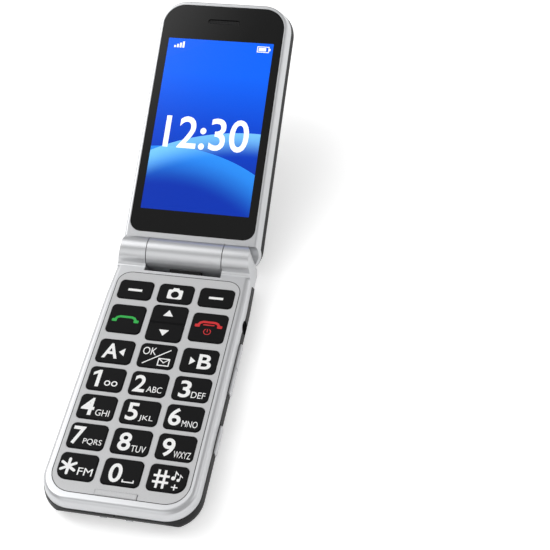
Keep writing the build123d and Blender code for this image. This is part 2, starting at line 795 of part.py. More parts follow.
def flip_envelope():
    """Outer form of the flip: drafted all round, with ears that reach round the knuckles."""
    spread = flip_slope * flip_thickness
    face = panel(flip_width + 2 * spread, -ear_length - spread, half_length + spread, ear_corner + spread,
                 free_corner + spread, flip_back, flip_top).faces().sort_by(Axis.Z)[0]
    body = extrude(-face, flip_thickness, taper=flip_draft)
    body = fillet(edges_at(body, flip_back), outer_rounding)
    body = fillet(edges_at(body, flip_top), flip_rim_rounding)
    return (body & flip_side_view(0.0)) - knuckle_room()


def metal_zone():
    """What the metallic frame takes of the flip: the inner layer and a shell round the knuckles."""
    inner = block(-far, far, -far, far, flip_part_line, far)
    return inner + rod(barrel_radius + knuckle_clear + ear_shell, -far, far)


def barrel_block():
    """Middle barrel of the hinge: round inside, squared and rounded towards the phone's end."""
    end, back = -barrel_radius, flip_back
    block_end = cavity_near - fit_gap
    outline = Curve() + [
        ThreePointArc((-barrel_radius, 0), (0, barrel_radius), (barrel_radius, 0)),
        Line((barrel_radius, 0), (block_end, 0)),
        Line((block_end, 0), (block_end, flip_part_line)),
        Line((block_end, flip_part_line), (notch_depth, flip_part_line)),
        Line((notch_depth, flip_part_line), (notch_depth, back)),
        Line((notch_depth, back), (end + block_corner, back)),
        RadiusArc((end + block_corner, back), (end, back + block_corner), block_corner),
        Line((end, back + block_corner), (end, 0)),
    ]
    solid = Pos(-barrel_half, 0, 0) * extrude(Plane.YZ * make_face(outline), 2 * barrel_half)
    return solid - block(-far, far, barrel_radius - fit_gap, far, flip_top, far)


def glass_pocket(margin, low, high):
    """Outline of the display glass as a slab."""
    return panel(glass_width + 2 * margin, glass_near - margin, glass_far + margin,
                 glass_near_corner + margin, glass_far_corner + margin, low, high)


def boss_spots():
    """Places of the four screws that join frame and cover of the flip."""
    return [(sign * x, y) for x, y in flip_screw_places for sign in (-1, 1)]


def flip_frame():
    """Metallic frame of the flip: rim, shelf under the glass, ear shells and the hinge barrel."""
    body = flip_envelope() & metal_zone()
    body += barrel_block()
    body -= glass_pocket(fit_gap, shelf_top, overcut)
    wall = 2 * flip_side_wall
    body -= panel(flip_width - wall, cavity_near, cavity_far, glass_near_corner, glass_far_corner,
                  flip_back, shelf_back)
    x = display_width / 2 + fit_gap
    y = display_length / 2 + fit_gap
    body -= block(-x, x, display_centre - y, display_centre + y, shelf_back - overcut, 0)
    x = earpiece_size[0] / 2 + fit_gap
    y = earpiece_size[1] / 2 + fit_gap
    body -= block(-x, x, slot_place - y, slot_place + y, shelf_back - overcut, 0)
    body -= rod(cartridge_radius + pin_play, barrel_half - cartridge_length - fit_gap, barrel_half + overcut)
    body -= rod(bush_radius + pin_play, -barrel_half - overcut, -barrel_half + bush_in_barrel + fit_gap)
    body -= flex_passage()
    body -= torch_room()
    for x, y in boss_spots():
        body -= post(flip_screw_head + fit_gap, x, y, shelf_top - flip_screw_head_height, 0)
        body -= post(screw_radius + fit_gap, x, y, shelf_back - overcut, 0)
    return body


def flex_passage():
    """Way of the flexible circuit through the barrel block to the room behind the display."""
    start = -barrel_half + bush_in_barrel
    end = start + flex_width + 2 * fit_gap
    room = flex_thickness + 2 * fit_gap
    low = -flip_board_depth - fit_gap
    edge = flex_radius + fit_gap
    down = block(start, end, edge - room, edge, low, 0)
    along = block(start, end, edge - room, cavity_near + overcut, low, low + room)
    return rod(bush_bore, start, end) + down + along


def torch_room():
    """Pocket of the torch in the end of the barrel block."""
    end = -barrel_radius
    half = torch_width / 2 + pin_play
    pocket = block(-half, half, end - overcut, end + torch_set, -torch_far - pin_play, -torch_near + pin_play)
    x_size, y_size, z_size = led_size
    half, tall = x_size / 2 + pin_play, z_size / 2 + pin_play
    middle = -(torch_near + torch_far) / 2
    return pocket + block(-half, half, end, end + torch_set + y_size + pin_play, middle - tall, middle + tall)


def torch_window():
    """Oblong window of the torch, standing a little out of the end of the barrel block."""
    half = torch_width / 2
    end = -barrel_radius - torch_proud
    solid = block(-half, half, end, -barrel_radius + torch_set, -torch_far, -torch_near)
    outer = [e for e in solid.edges() if all(v.Y < end + fit_gap for v in e.vertices())]
    return fillet(outer, torch_rounding)


def torch_led():
    x_size, y_size, z_size = led_size
    start = -barrel_radius + torch_set
    middle = -(torch_near + torch_far) / 2
    return block(-x_size / 2, x_size / 2, start, start + y_size, middle - z_size / 2, middle + z_size / 2)


def slot_prism(length, width, low, high):
    """Level slot with round ends, along X."""
    return Pos(0, 0, low) * extrude(SlotOverall(length, width), high - low)


def camera_oval(margin, low, high):
    """Upright prism over the camera window's oval."""
    face = Ellipse(camera_width / 2 + margin, camera_height / 2 + margin)
    return Pos(0, camera_place, low) * extrude(face, high - low)


def flip_cover():
    """Black outer shell of the flip with a notch for the barrel block and screw posts inside."""
    body = flip_envelope() - metal_zone()
    half = barrel_half + pin_play * 2
    body -= block(-half, half, -far, notch_depth + pin_play * 2, -far, far)
    wall = 2 * cover_side_wall
    body -= panel(flip_width - wall, cavity_near, half_length - cover_side_wall, ear_corner,
                  free_corner - cover_side_wall, cover_inside, 0)
    for x, y in boss_spots():
        body += post(boss_radius, x, y, cover_inside - fit_gap, shelf_back)
        body -= post(screw_radius, x, y, shelf_back - flip_screw_length, overcut)
    body -= camera_oval(pin_play, flip_back - overcut, 0)
    for place in lens_places:
        body -= Pos(lens_x, place, 0) * slot_prism(lens_length + 2 * pin_play, lens_height + 2 * pin_play,
                                                   flip_back - overcut, 0)
    body -= Pos(0, trim_place, 0) * slot_prism(trim_length + 2 * pin_play, trim_width + 2 * pin_play,
                                               flip_back - overcut, flip_back + trim_depth)
    return body


def display_glass():
    """Black glass of the display side with the slot of the earpiece."""
    slot = Pos(0, slot_place, 0) * slot_prism(slot_length, slot_height, glass_back - overcut, 0)
    return glass_pocket(0, glass_back, glass_top) - slot


def display_panel():
    x, y = display_width / 2, display_length / 2
    return block(-x, x, display_centre - y, display_centre + y, glass_back - display_thickness, glass_back)


def earpiece():
    size = earpiece_size
    return box_at(0, slot_place, glass_back - size[2], size)


def earpiece_grille():
    """Mesh strip in the earpiece slot."""
    strip = slot_prism(slot_length - 2 * slot_gap, slot_height - 2 * slot_gap,
                       glass_back, glass_top - grille_depth)
    return Pos(0, slot_place, 0) * strip


def flip_board():
    """Circuit board behind the display, on the side of the hinge."""
    board = panel(2 * flip_board_half, flip_board_near, flip_board_far, flip_board_corner, flip_board_corner,
                  -flip_board_depth - flip_board_thickness, -flip_board_depth)
    for x, y in boss_spots():
        board -= post(boss_radius + fit_gap, x, y, flip_back, 0)
    return board


def camera_module():
    """Square camera module with its round lens barrel towards the window."""
    high = -flip_board_depth - flip_board_thickness
    low = cover_inside + fit_gap
    middle = (high + low) / 2
    base = box_at(0, camera_place, middle, (camera_base, camera_base, high - middle))
    return base + post(camera_barrel, 0, camera_place, low, middle)


def camera_window():
    """Oval lens window, a little domed and proud of the cover."""
    disc = camera_oval(0, flip_back - camera_dome, cover_inside)
    reach = camera_height / 2
    ball = (reach ** 2 + camera_dome ** 2) / (2 * camera_dome)
    return disc & Pos(0, camera_place, flip_back - camera_dome + ball) * Sphere(ball)


def indicator_lenses():
    """Two light guides from the flip's board to the outside."""
    return [Pos(lens_x, place, 0) * slot_prism(lens_length, lens_height, flip_back,
                                               -flip_board_depth - flip_board_thickness)
            for place in lens_places]


def trim_strip():
    return Pos(0, trim_place, 0) * slot_prism(trim_length, trim_width, flip_back - trim_proud,
                                              flip_back + trim_depth)


def hinge_cartridge():
    """Sprung cartridge in the barrel, bored for the shaft of the hinge cam."""
    case = rod(cartridge_radius, barrel_half - cartridge_length, barrel_half)
    return case - rod(pin_radius / 2 + pin_play, barrel_half - cam_shaft - run_gap, barrel_half + overcut)


def flip_screws():
    """Four screws under the glass into the posts of the cover."""
    screws = []
    for x, y in boss_spots():
        head = post(flip_screw_head, x, y, shelf_top - flip_screw_head_height, shelf_top)
        screws.append(head + post(screw_radius, x, y, shelf_back - flip_screw_length + fit_gap,
                                  shelf_top - fit_gap))
    return screws


def flex_cable():
    """Flexible circuit: rolled round the hinge axis inside the bush, then flat to the flip's board."""
    start = -barrel_half + bush_in_barrel + fit_gap
    end = start + flex_width
    roll = rod(flex_radius, -knuckle_start, end) - rod(flex_radius - flex_wall, -far, far)
    down = block(start, end, flex_radius - flex_thickness, flex_radius, -flip_board_depth, 0)
    along = block(start, end, flex_radius - flex_thickness, flip_board_near + flex_overlap,
                  -flip_board_depth, -flip_board_depth + flex_thickness)
    return roll + down + along


# ---- assembly ----

base_place = Pos(0, hinge_y, hinge_z)
flip_place = base_place * Rot(tilt, 0, 0)

base_parts = {
    "front_frame": front_frame(), "keypad_plate": keypad_plate(), "keypad_mat": keypad_mat(),
    "key_domes": key_domes(), "main_board": main_board(), "rear_case": rear_case(),
    "battery_cover": battery_cover(), "battery": battery(), "battery_contacts": battery_contacts(),
    "loudspeaker": loudspeaker(), "microphone": microphone(), "vibration_motor": vibration_motor(),
    "sim_holder": sim_holder(), "headphone_jack": headphone_jack(), "usb_socket": usb_socket(),
    "charge_contacts": charge_contacts(), "tact_switches": tact_switches(), "rear_screws": rear_screws(),
    "hinge_cam": hinge_cam(), "hinge_bush": hinge_bush(), "volume_rocker": volume_rocker(),
    "side_key": side_key(), "sos_key": sos_key(),
}
for row in key_table():
    base_parts[row[0]] = key(*row)

flip_parts = {
    "flip_frame": flip_frame(), "flip_cover": flip_cover(), "display_glass": display_glass(),
    "display_panel": display_panel(), "earpiece": earpiece(), "earpiece_grille": earpiece_grille(),
    "flip_board": flip_board(), "camera_module": camera_module(), "camera_window": camera_window(),
    "indicator_lenses": indicator_lenses(), "trim_strip": trim_strip(), "torch_window": torch_window(),
    "torch_led": torch_led(), "hinge_cartridge": hinge_cartridge(), "flip_screws": flip_screws(),
    "flex_cable": flex_cable(),
}

os.makedirs("parts", exist_ok=True)
for place, parts in ((base_place, base_parts), (flip_place, flip_parts)):
    for name, shape in parts.items():
        solids = shape if isinstance(shape, list) else shape.solids()
        whole = Compound([place * solid for piece in solids for solid in piece.solids()])
        export_step(whole, f"parts/{name}.step")
print("hinge axis at y", round(hinge_y, 3), "z", round(hinge_z, 3), "opening", opening_angle)
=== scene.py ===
import json
import math

import bmesh
import bpy
from mathutils import Matrix, Vector
from mathutils.geometry import delaunay_2d_cdt, tessellate_polygon


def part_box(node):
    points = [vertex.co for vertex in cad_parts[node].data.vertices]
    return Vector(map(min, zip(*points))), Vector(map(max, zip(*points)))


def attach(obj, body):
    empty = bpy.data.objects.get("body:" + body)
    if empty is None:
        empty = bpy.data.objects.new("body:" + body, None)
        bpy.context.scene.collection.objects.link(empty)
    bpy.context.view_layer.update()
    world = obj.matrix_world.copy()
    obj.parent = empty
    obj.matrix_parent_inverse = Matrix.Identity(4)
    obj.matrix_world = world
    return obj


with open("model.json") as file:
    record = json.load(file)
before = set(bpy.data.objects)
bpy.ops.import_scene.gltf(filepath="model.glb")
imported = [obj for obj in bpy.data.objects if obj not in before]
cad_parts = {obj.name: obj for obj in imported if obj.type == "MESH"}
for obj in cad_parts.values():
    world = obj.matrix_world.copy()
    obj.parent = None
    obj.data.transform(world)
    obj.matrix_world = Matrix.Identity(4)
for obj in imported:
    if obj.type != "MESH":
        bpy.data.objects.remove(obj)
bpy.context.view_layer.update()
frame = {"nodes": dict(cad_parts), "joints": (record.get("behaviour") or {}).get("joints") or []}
nodes = frame["nodes"]
mm = 0.001
print("frame loaded:", len(nodes), "nodes")

# the open flip leans back from the base by this much, about the hinge axis
flipJoint = [joint for joint in frame["joints"] if joint["name"] == "flip_hinge"][0]
hingePoint = Vector(flipJoint["pos_m"])
flipLean = math.pi - math.radians(flipJoint["range_deg"][1])
flipPlace = Matrix.Translation(hingePoint) @ Matrix.Rotation(flipLean, 4, "X")


def toLinear(hexColor, alpha=1.0):
    parts = [int(hexColor[i:i + 2], 16) / 255 for i in (0, 2, 4)]
    return [c / 12.92 if c <= 0.04045 else ((c + 0.055) / 1.055) ** 2.4 for c in parts] + [alpha]


def addNode(tree, kind, settings=None, links=None):
    node = tree.nodes.new(kind)
    for key, value in (settings or {}).items():
        if isinstance(key, int) or key in node.inputs:
            node.inputs[key].default_value = value
        else:
            setattr(node, key, value)
    for key, source in (links or {}).items():
        tree.links.new(source, node.inputs[key])
    return node


def flipBox(nodeName):
    # a node's box in the flip's own frame: x across, y along it from the hinge, z out of the display
    back = flipPlace.inverted()
    points = [back @ v.co for v in nodes[nodeName].data.vertices]
    low = Vector([min(p[i] for p in points) for i in range(3)])
    high = Vector([max(p[i] for p in points) for i in range(3)])
    return low, high


weldDistance = 1e-7  # in metres


def finishPiece(name, mesh, place, body, material=None):
    # without a material, the mesh keeps its own
    bm = bmesh.new()
    bm.from_mesh(mesh)
    bmesh.ops.remove_doubles(bm, verts=bm.verts, dist=weldDistance)
    bmesh.ops.recalc_face_normals(bm, faces=bm.faces)
    bm.to_mesh(mesh)
    bm.free()
    mesh.transform(place)
    mesh.update()
    mesh.name = name
    piece = bpy.data.objects.new(name, mesh)
    bpy.context.scene.collection.objects.link(piece)
    if material is not None:
        mesh.materials.clear()
        mesh.materials.append(material)
    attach(piece, body)
    return piece


# flat printed shapes are drawn in millimetres about their key's middle, as loose triangles

def filled(*loops):
    # the first loop is the outline, the others are holes in it
    points = [[Vector((x, y, 0)) for x, y in loop] for loop in loops]
    flat = [Vector((x, y)) for loop in loops for x, y in loop]
    return [tuple(flat[i] for i in corners) for corners in tessellate_polygon(points)]


smallestTriangle = 1e-7  # twice its area, in square millimetres
mergeDistance = 1e-4  # in millimetres


def printedMesh(triangles, thickness):
    # shapes that overlap become one flat outline, so that no two faces share a plane
    points, corners = [], []
    for a, b, c in triangles:
        turn = (b - a).cross(c - a)
        if abs(turn) > smallestTriangle:
            corners.append(tuple(range(len(points), len(points) + 3)))
            points += [a, b, c] if turn > 0 else [a, c, b]
    flat, _, faces, _, _, sources = delaunay_2d_cdt(points, [], corners, 1, mergeDistance)
    bm = bmesh.new()
    verts = [bm.verts.new((v.x * mm, v.y * mm, 0)) for v in flat]
    for face, source in zip(faces, sources):
        if source:  # a face without one lies in a hole
            bm.faces.new([verts[i] for i in face])
    bmesh.ops.delete(bm, geom=[v for v in bm.verts if not v.link_faces], context="VERTS")
    top = bmesh.ops.extrude_face_region(bm, geom=bm.faces[:])
    for v in [g for g in top["geom"] if isinstance(g, bmesh.types.BMVert)]:
        v.co.z += thickness * mm
    mesh = bpy.data.meshes.new("printed")
    bm.to_mesh(mesh)
    bm.free()
    return mesh


def circlePoints(x, y, radius, count=28, start=0.0, end=360.0):
    whole = abs(end - start) >= 360
    steps = count if whole else count + 1
    return [(x + radius * math.cos(math.radians(start + (end - start) * i / count)),
             y + radius * math.sin(math.radians(start + (end - start) * i / count))) for i in range(steps)]


def cornered(low, high, nearCorner, farCorner, steps):
    # a box with round corners: one radius for the two at the top, another for the two at the bottom
    points = []
    for cx, cy, turn, corner in ((1, 1, 0, nearCorner), (-1, 1, 90, nearCorner), (-1, -1, 180, farCorner),
                                 (1, -1, 270, farCorner)):
        ox = (high[0] if cx > 0 else low[0]) - cx * corner
        oy = (high[1] if cy > 0 else low[1]) - cy * corner
        for i in range(steps + 1):
            angle = math.radians(turn + 90 * i / steps)
            points.append((ox + corner * math.cos(angle), oy + corner * math.sin(angle)))
    return points


def roundedBar(x, y, width, height, corner):
    return cornered((x - width / 2, y - height / 2), (x + width / 2, y + height / 2), corner, corner, 5)


# sharpest is the cosine below which a corner's reach grows no further, and endSteps rounds each end
penLook = {"sharpest": 0.35, "endSteps": 6}


def stroke(points, width, closed=False):
    # a run of points drawn with a round pen
    half, steps = width / 2, penLook["endSteps"]
    count = len(points)
    sides = ([], [])
    for i, (x, y) in enumerate(points):
        before = points[i - 1] if (i or closed) else None
        after = points[(i + 1) % count] if (i < count - 1 or closed) else None
        directions = []
        if before is not None:
            directions.append(Vector((x - before[0], y - before[1])).normalized())
        if after is not None:
            directions.append(Vector((after[0] - x, after[1] - y)).normalized())
        along = sum(directions, Vector((0, 0))).normalized()
        across = Vector((-along.y, along.x))
        reach = half / max(penLook["sharpest"], across.dot(Vector((-directions[0].y, directions[0].x))))
        sides[0].append((x + across.x * reach, y + across.y * reach))
        sides[1].append((x - across.x * reach, y - across.y * reach))
    if closed:
        return [sides[1], sides[0]]
    outline = list(sides[1])
    for (ox, oy), a, b in ((points[-1], sides[1][-1], sides[0][-1]), (points[0], sides[0][0], sides[1][0])):
        first = math.atan2(a[1] - oy, a[0] - ox)
        for i in range(1, steps):
            angle = first + math.pi * i / steps
            outline.append((ox + half * math.cos(angle), oy + half * math.sin(angle)))
        if b == sides[0][-1]:
            outline += list(reversed(sides[0]))
    return [outline]


def lettering(text, x, y, height, width, weight):
    # weight thickens the strokes, as a share of the letter height. It breaks an M, so words have none
    curve = bpy.data.curves.new("text", "FONT")
    curve.body = text
    curve.size = 1.0
    curve.offset = weight
    curve.resolution_u = 5
    curve.space_character = 1.0 + weight
    holder = bpy.data.objects.new("text", curve)
    bpy.context.scene.collection.objects.link(holder)
    bpy.context.view_layer.update()
    flat = bpy.data.meshes.new_from_object(holder.evaluated_get(bpy.context.evaluated_depsgraph_get()))
    bpy.data.objects.remove(holder)
    low = [min(v.co[i] for v in flat.vertices) for i in (0, 1)]
    high = [max(v.co[i] for v in flat.vertices) for i in (0, 1)]
    sx, sy = width / (high[0] - low[0]), height / (high[1] - low[1])
    spots = [Vector(((v.co.x - (low[0] + high[0]) / 2) * sx + x, (v.co.y - (low[1] + high[1]) / 2) * sy + y))
             for v in flat.vertices]
    triangles = []
    for face in flat.polygons:
        first, *others = [spots[i] for i in face.vertices]
        triangles += [(first, one, two) for one, two in zip(others, others[1:])]
    return triangles


def surface(name, look):
    # look: two colors, metallic, a range of roughness, grain and bump in mm, stretch of the grain along x, y and z,
    # and further shader sockets
    material = bpy.data.materials.new(name)
    material.use_nodes = True
    tree = material.node_tree
    shader = tree.nodes["Principled BSDF"]
    coords = addNode(tree, "ShaderNodeTexCoord")
    stretch = look.get("stretch", (1, 1, 1))
    scale = [1 / (mm * s) for s in stretch]
    mapping = addNode(tree, "ShaderNodeMapping", {"Scale": scale}, {"Vector": coords.outputs["Object"]})
    grain = addNode(tree, "ShaderNodeTexNoise", {"Scale": 1 / look["grain"], "Detail": 2.0,
                                                 "Roughness": 0.55}, {"Vector": mapping.outputs["Vector"]})
    ramp = addNode(tree, "ShaderNodeMix", {"data_type": "RGBA"}, {"Factor": grain.outputs["Fac"]})
    ramp.inputs[6].default_value = toLinear(look["colors"][0])
    ramp.inputs[7].default_value = toLinear(look["colors"][1])
    tree.links.new(ramp.outputs[2], shader.inputs["Base Color"])
    rough = addNode(tree, "ShaderNodeMapRange", {"From Min": 0.3, "From Max": 0.7, "To Min": look["roughness"][0],
                                                 "To Max": look["roughness"][1]}, {"Value": grain.outputs["Fac"]})
    tree.links.new(rough.outputs["Result"], shader.inputs["Roughness"])
    if look.get("bump"):
        bump = addNode(tree, "ShaderNodeBump", {"Strength": 1.0, "Distance": look["bump"] * mm},
                       {"Height": grain.outputs["Fac"]})
        tree.links.new(bump.outputs["Normal"], shader.inputs["Normal"])
    shader.inputs["Metallic"].default_value = look.get("metallic", 0.0)
    for key, value in look.get("sockets", {}).items():
        shader.inputs[key].default_value = value
    return material


finishes = {
    # metallic paint sprayed on moulded ABS: broad soft highlights, grey where it looks at something dark.
    # Its flakes are far finer than a pixel, so the grain is drawn ten times as coarse
    "satinSilverPaint": {"colors": ("CACBCD", "D2D3D5"), "metallic": 0.65, "roughness": (0.28, 0.33), "grain": 0.25,
                         "bump": 0.0002},
    # the same paint with more white pigment and a coarser flake: pale, with a fine dull sparkle
    "grainedSilverPaint": {"colors": ("BABBBC", "D3D3D4"), "metallic": 0.2, "roughness": (0.42, 0.55), "grain": 0.3,
                           "bump": 0.003, "sockets": {"Specular IOR Level": 0.25}},
    # moulded ABS with a fine spark-eroded texture: deep black with a dull sheen
    "texturedBlackAbs": {"colors": ("0A0A0B", "101011"), "roughness": (0.42, 0.52), "grain": 0.25, "bump": 0.004,
                         "sockets": {"Specular IOR Level": 0.2}},
    # moulded ABS key caps with a silky coating: black, with hardly a highlight
    "silkyBlackAbs": {"colors": ("0C0C0D", "121213"), "roughness": (0.42, 0.52), "grain": 0.3, "bump": 0.003,
                      "sockets": {"Specular IOR Level": 0.1}},
    # tinted float glass, polished: black, with a clear mirror image of the lights
    "polishedBlackGlass": {"colors": ("020202", "040404"), "roughness": (0.05, 0.07), "grain": 6.0,
                           "sockets": {"IOR": 1.5, "Specular IOR Level": 0.45}},
    # pad printed inks: flat, opaque and a little raised
    "whitePadPrint": {"colors": ("F0F0EF", "FAFAF9"), "roughness": (0.45, 0.55), "grain": 0.3},
    "greenPadPrint": {"colors": ("0CA83A", "18BC48"), "roughness": (0.4, 0.5), "grain": 0.3},
    "redPadPrint": {"colors": ("C80C14", "DC141C"), "roughness": (0.4, 0.5), "grain": 0.3},
    # lit pixels: white with a faint blue tinge where the subpixels vary
    "litWhitePixels": {"colors": ("EEF3FF", "FFFFFF"), "roughness": (0.1, 0.14), "grain": 0.5,
                       "sockets": {"Emission Color": toLinear("FFFFFF"), "Emission Strength": 0.35}},
    # bare punched steel: a soft mirror, with the roller's lines along it
    "stampedSteel": {"colors": ("A4A6A9", "B4B6B9"), "metallic": 1.0, "roughness": (0.28, 0.4), "grain": 0.2,
                     "stretch": (4, 1, 1)},
    # thin gold on nickel: a warm yellow shine, a little dull
    "goldPlating": {"colors": ("D0A24A", "DDB25C"), "metallic": 1.0, "roughness": (0.18, 0.26), "grain": 0.3},
    # glass fibre board under solder mask: dark green with a slight gloss
    "solderMaskBoard": {"colors": ("0C4A2C", "146038"), "roughness": (0.3, 0.4), "grain": 1.2},
    # the inside of a small hole, where no light comes back: dull black
    "deepHoleBlack": {"colors": ("020202", "060606"), "roughness": (0.7, 0.8), "grain": 0.2,
                      "sockets": {"Specular IOR Level": 0.1}},
    # moulded silicone: dull and nearly black
    "siliconeRubber": {"colors": ("141415", "1C1C1E"), "roughness": (0.6, 0.7), "grain": 0.5, "bump": 0.005},
    # glass filled nylon straight from the mould: a matt black
    "mouldedNylon": {"colors": ("0C0C0D", "131314"), "roughness": (0.5, 0.6), "grain": 0.3, "bump": 0.004,
                     "sockets": {"Specular IOR Level": 0.3}},
    # white acetal: smooth and a little waxy
    "whiteAcetal": {"colors": ("DADAD6", "E4E4E1"), "roughness": (0.35, 0.45), "grain": 0.4},
    # polyimide film over copper: clear amber with a soft shine
    "amberPolyimide": {"colors": ("8A4A0C", "A05E18"), "roughness": (0.25, 0.35), "grain": 0.8},
    # plastic wrap of a lithium cell: dark grey, slightly shiny
    "cellWrap": {"colors": ("2A2D31", "33373C"), "roughness": (0.35, 0.42), "grain": 0.6},
    # light guides of smoked polycarbonate: dark grey and glossy
    "smokedPolycarbonate": {"colors": ("3A3B3D", "444547"), "roughness": (0.18, 0.25), "grain": 0.6},
    # coated lens glass: dark blue with a strong glint
    "coatedLensGlass": {"colors": ("0A1030", "16245C"), "roughness": (0.02, 0.04), "grain": 1.4},
}
paints = {name: surface(name, look) for name, look in finishes.items()}


# the lit panel's picture: field colours from bottom to top, and round waves in widths of the panel, each with its
# middle, radius, width, colour and share. A wave fades inward over fade times its width
panelLook = {"field": ("0030A8", "0044CC", "0060F0"), "glow": 0.3, "roughness": 0.12, "specular": 0.3,
             "waves": (((0.2, -1.35), 1.62, 0.16, "2F9BFF", 0.75), ((0.95, -1.6), 2.05, 0.10, "7FD0FF", 0.8),
                       ((-0.3, 2.2), 1.1, 0.25, "0A60F0", 0.7)),
             "fade": 2.4}


def screenPicture():
    # a lit colour panel: a deep blue field with soft light waves low down and a glow in the upper left corner
    material = bpy.data.materials.new("litColourPanel")
    material.use_nodes = True
    tree = material.node_tree
    shader = tree.nodes["Principled BSDF"]
    uv = addNode(tree, "ShaderNodeUVMap", {"uv_map": "panel"})
    split = addNode(tree, "ShaderNodeSeparateXYZ", {}, {0: uv.outputs[0]})
    field = addNode(tree, "ShaderNodeValToRGB", {}, {0: split.outputs[1]})
    stops = field.color_ramp
    stops.elements.new(0.5)
    for stop, tint in zip(stops.elements, panelLook["field"]):
        stop.color = toLinear(tint)
    color = field.outputs[0]
    for (cx, cy), radius, width, tint, share in panelLook["waves"]:
        away = addNode(tree, "ShaderNodeVectorMath", {"operation": "DISTANCE", 1: (cx, cy, 0)}, {0: uv.outputs[0]})
        edge = addNode(tree, "ShaderNodeMath", {"operation": "LESS_THAN", 1: radius}, {0: away.outputs["Value"]})
        fade = addNode(tree, "ShaderNodeMapRange",
                       {"interpolation_type": "SMOOTHSTEP", 1: radius - width * panelLook["fade"], 2: radius, 3: 0.0,
                        4: share}, {0: away.outputs["Value"]})
        cut = addNode(tree, "ShaderNodeMath", {"operation": "MULTIPLY"}, {0: edge.outputs[0], 1: fade.outputs[0]})
        mixed = addNode(tree, "ShaderNodeMix", {"data_type": "RGBA"}, {0: cut.outputs[0], 6: color})
        mixed.inputs[7].default_value = toLinear(tint)
        color = mixed.outputs[2]
    tree.links.new(color, shader.inputs["Base Color"])
    tree.links.new(color, shader.inputs["Emission Color"])
    shader.inputs["Emission Strength"].default_value = panelLook["glow"]
    shader.inputs["Roughness"].default_value = panelLook["roughness"]
    shader.inputs["Specular IOR Level"].default_value = panelLook["specular"]
    return material


nodeFinish = {
    "satinSilverPaint": ["front_frame", "flip_frame", "volume_rocker", "side_key"],
    "grainedSilverPaint": ["keypad_plate", "trim_strip"],
    "texturedBlackAbs": ["rear_case", "battery_cover", "flip_cover"],
    "silkyBlackAbs": [name for name in nodes if name.startswith("key_") and name != "key_domes"],
    "polishedBlackGlass": ["display_glass", "camera_window", "torch_window"],
    "stampedSteel": ["key_domes", "usb_socket", "sim_holder", "rear_screws", "hinge_cam", "hinge_cartridge",
                     "flip_screws", "vibration_motor", "microphone", "charge_contacts"],
    "goldPlating": ["battery_contacts"],
    "solderMaskBoard": ["main_board", "flip_board"],
    "siliconeRubber": ["keypad_mat"],
    "mouldedNylon": ["headphone_jack", "loudspeaker", "earpiece", "camera_module", "earpiece_grille"],
    "whiteAcetal": ["hinge_bush", "tact_switches", "torch_led", "sos_key", "display_panel"],
    "amberPolyimide": ["flex_cable"],
    "cellWrap": ["battery"],
    "smokedPolycarbonate": ["indicator_lenses"],
}
for finish, names in nodeFinish.items():
    for name in names:
        nodes[name].data.materials.clear()
        nodes[name].data.materials.append(paints[finish])
print("finishes set on", sum(len(names) for names in nodeFinish.values()), "nodes")

# the legends, in millimetres: the ink stands up by its thickness and is sunk into the key to leave no gap
legendLook = {"thickness": 0.02, "sink": 0.02,
              "digitHeight": 7.0, "digitX": -3.05, "digitY": -0.1, "digitWeight": 0.02,
              "letterHeight": 2.5, "letterX": 2.6, "letterY": -2.2, "letterWeight": 0.0}


def digit(text, width, x=legendLook["digitX"], y=legendLook["digitY"], height=legendLook["digitHeight"]):
    return lettering(text, x, y, height, width, legendLook["digitWeight"])


def letters(text, width, x=legendLook["letterX"], y=legendLook["letterY"], height=legendLook["letterHeight"]):
    return lettering(text, x, y, height, width, legendLook["letterWeight"])


def ring(x, y, radius, hole):
    return filled(circlePoints(x, y, radius), circlePoints(x, y, hole))


def line(points, pen, closed=False):
    return filled(*stroke(points, pen, closed))


def handset(y):
    arch = [(-4.05, y - 0.75), (-3.2, y + 0.5), (-2.2, y + 0.9), (2.2, y + 0.9), (3.2, y + 0.5), (4.05, y - 0.75)]
    feet = [filled(roundedBar(side * 4.15, y - 0.85, 1.9, 1.25, 0.35)) for side in (-1, 1)]
    return line(arch, 0.95) + feet[0] + feet[1]


def envelope(x, y, width, height, pen):
    w, h = width / 2 - pen / 2, height / 2 - pen / 2
    frameLine = line([(x - w, y - h), (x + w, y - h), (x + w, y + h), (x - w, y + h)], pen, closed=True)
    return frameLine + line([(x - w, y + h), (x, y - h * 0.15), (x + w, y + h)], pen * 0.85)


def asterisk(x, y, reach, pen):
    arms = []
    for i in range(3):
        dx, dy = (reach * f(math.radians(90 + 60 * i)) for f in (math.cos, math.sin))
        arms += line([(x - dx, y - dy), (x + dx, y + dy)], pen)
    return arms


def hashSign(x, y, width, height, pen):
    bars = []
    for side in (-1, 1):
        bars += filled(roundedBar(x + side * width * 0.2, y, pen, height, 0.15))
        bars += filled(roundedBar(x, y + side * height * 0.17, width, pen, 0.15))
    return bars


def note(x, y, size):
    # a quaver: head, stem and flag
    stem, tip = x + size * 0.22, x + size * 0.62
    return (filled(circlePoints(x, y, size * 0.3, 16))
            + line([(stem, y), (stem, y + size), (tip, y + size * 0.62)], size * 0.16))


